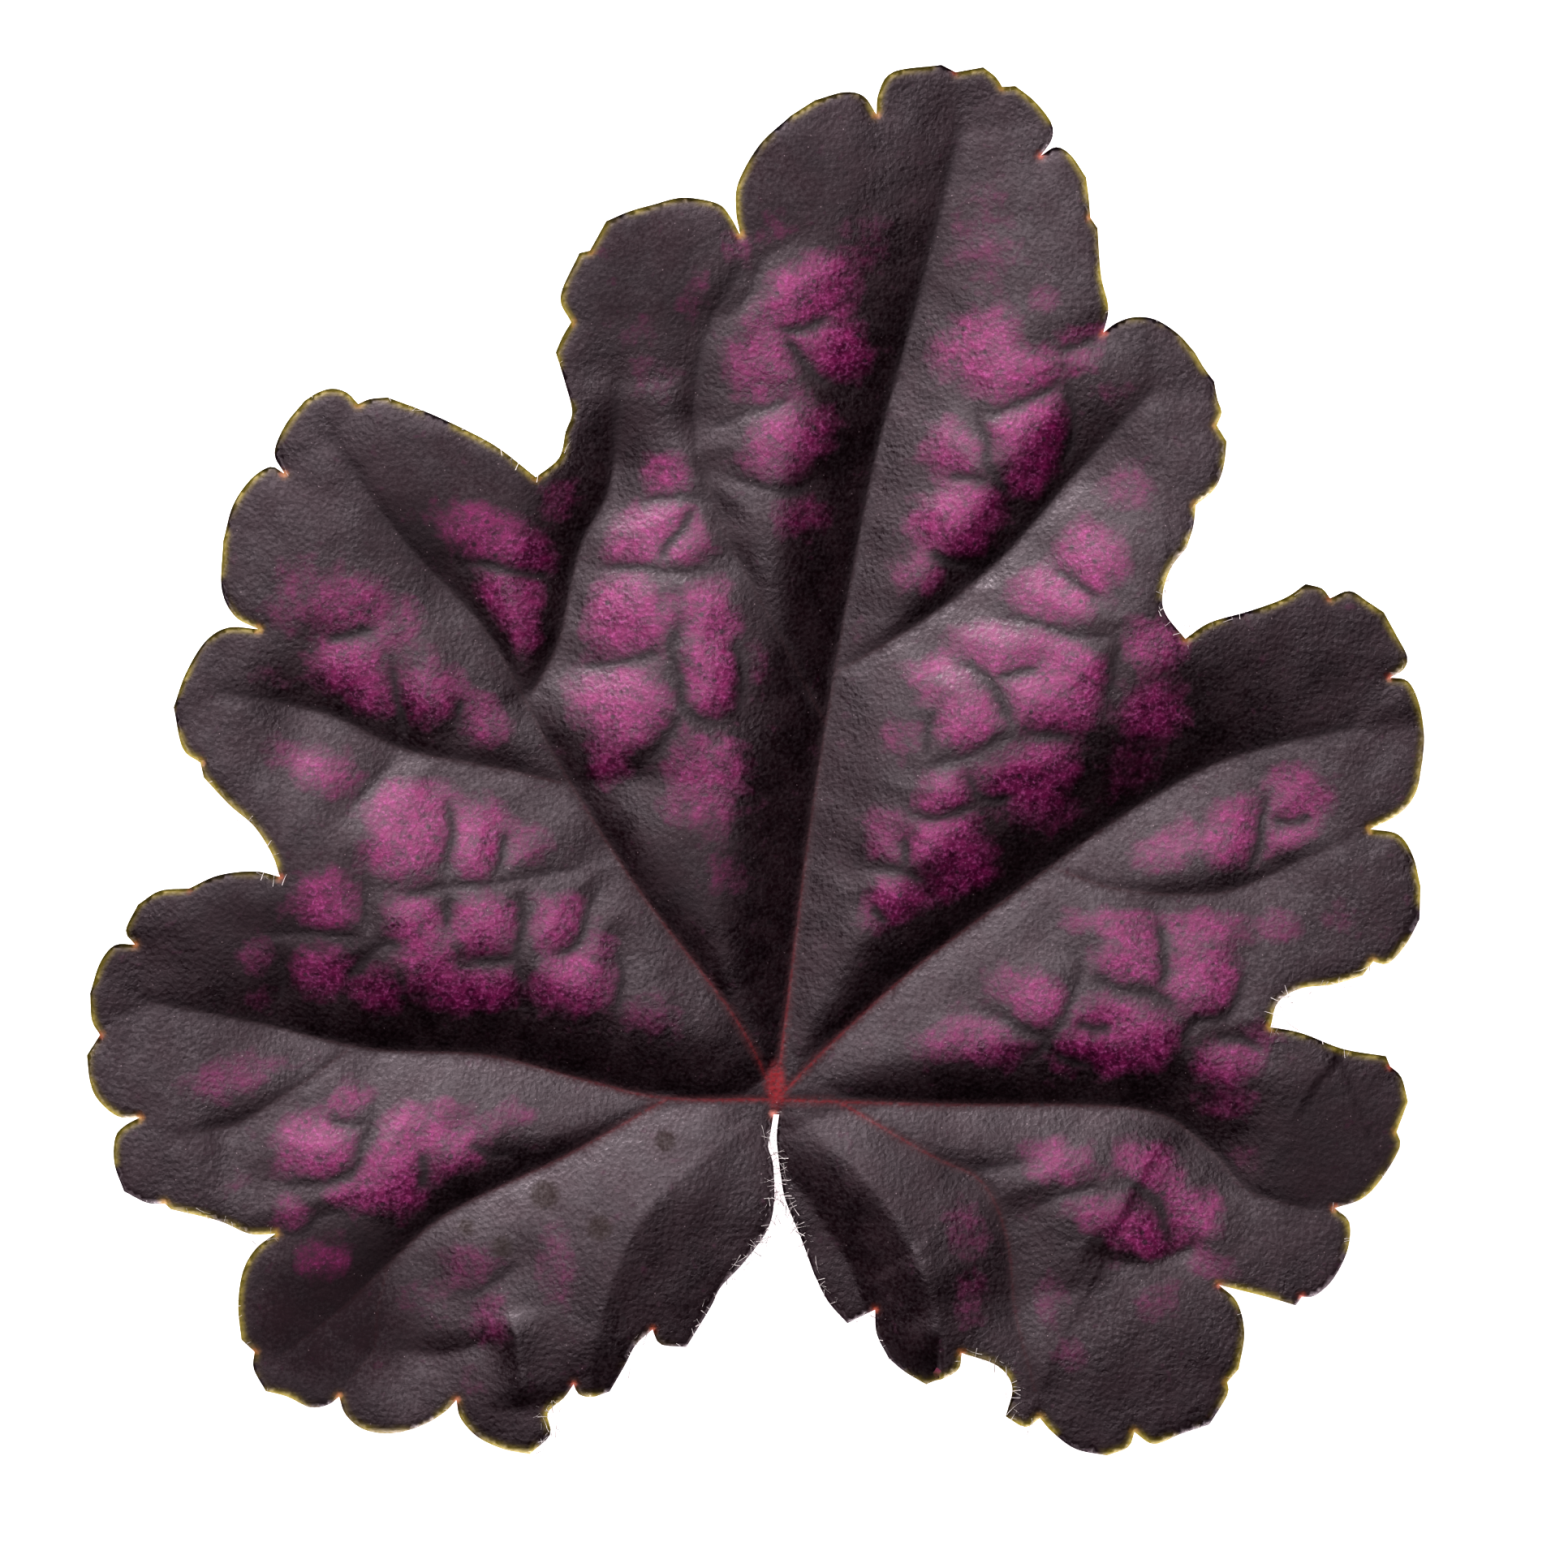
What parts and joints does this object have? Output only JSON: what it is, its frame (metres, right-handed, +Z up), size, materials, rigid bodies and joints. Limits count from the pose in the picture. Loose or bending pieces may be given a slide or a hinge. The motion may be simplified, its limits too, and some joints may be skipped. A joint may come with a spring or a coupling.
{
  "type": "heuchera leaf",
  "caption": "Picked heuchera leaf lying face up: a thin dark purple blade with scalloped lobes, folded down along its veins, with magenta patches between them.",
  "frame": {"origin": "middle of the leaf's footprint, on the surface that it lies on", "axes": "+Y towards the tip of the top lobe, away from the stalk; +Z up, out of the leaf's upper face"},
  "size_m": [0.082, 0.0854, 0.0043],
  "materials": {
    "leaf_blade": "black-purple leaf skin with a soft grey sheen, mottled magenta between the veins and crimson along them near the stalk"
  },
  "bodies": {
    "root": {"leaf": "leaf_blade"}
  },
  "joints": []
}
